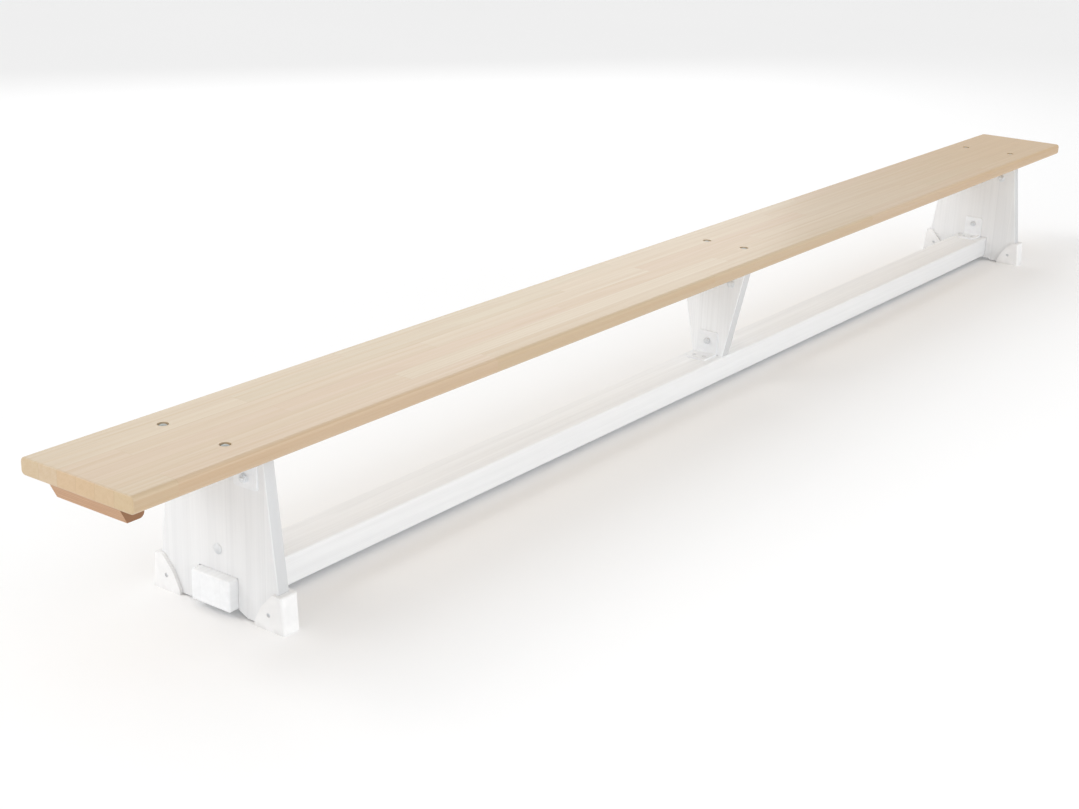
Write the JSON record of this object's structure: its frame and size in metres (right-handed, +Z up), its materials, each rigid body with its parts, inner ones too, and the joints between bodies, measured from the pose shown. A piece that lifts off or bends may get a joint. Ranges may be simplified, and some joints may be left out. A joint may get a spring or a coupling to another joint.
{
  "type": "gymnastics bench with balance rail",
  "caption": "Long wooden gymnastics bench on flared legs with a balance rail through the legs near the floor and a hook batten under one end.",
  "frame": {"origin": "on the floor, midway along the seat and midway across it", "axes": "+X along the bench towards the end without the hook batten, +Y across it, +Z up"},
  "size_m": [4, 0.3276, 0.345],
  "materials": {
    "seat_wood": "pale laminated timber under clear matt varnish",
    "batten_wood": "pale timber under clear matt varnish",
    "frame_wood": "timber under a near-white stain, grain showing faintly",
    "rail_wood": "timber under a near-white stain, grain showing faintly",
    "foot_rubber": "white moulded rubber, matt",
    "bracket_steel": "pale grey zinc finish, satin",
    "seat_bolt_steel": "zinc-plated steel, worn satin",
    "fastener_steel": "zinc-plated steel, satin"
  },
  "bodies": {
    "root": {"seat_plank": "seat_wood", "hook_batten": "batten_wood", "near_leg_board": "frame_wood", "far_leg_board": "frame_wood", "mid_support_board": "frame_wood", "balance_rail": "rail_wood", "near_left_foot_cap": "foot_rubber", "near_right_foot_cap": "foot_rubber", "far_left_foot_cap": "foot_rubber", "far_right_foot_cap": "foot_rubber", "near_left_seat_bracket": "bracket_steel", "near_right_seat_bracket": "bracket_steel", "mid_left_seat_bracket": "bracket_steel", "mid_right_seat_bracket": "bracket_steel", "far_left_seat_bracket": "bracket_steel", "far_right_seat_bracket": "bracket_steel", "near_rail_bracket": "bracket_steel", "mid_rail_bracket": "bracket_steel", "far_rail_bracket": "bracket_steel", "near_seat_bolts": "seat_bolt_steel", "near_board_bolts": "fastener_steel", "near_rail_bracket_bolt": "fastener_steel", "near_washers": "fastener_steel", "near_nuts": "fastener_steel", "near_rail_screws": "fastener_steel", "mid_seat_bolts": "seat_bolt_steel", "mid_board_bolts": "fastener_steel", "mid_rail_bracket_bolt": "fastener_steel", "mid_washers": "fastener_steel", "mid_nuts": "fastener_steel", "mid_rail_screws": "fastener_steel", "far_seat_bolts": "seat_bolt_steel", "far_board_bolts": "fastener_steel", "far_rail_bracket_bolt": "fastener_steel", "far_washers": "fastener_steel", "far_nuts": "fastener_steel", "far_rail_screws": "fastener_steel", "near_foot_screws": "fastener_steel", "far_foot_screws": "fastener_steel", "hook_batten_screws": "fastener_steel"}
  },
  "joints": []
}
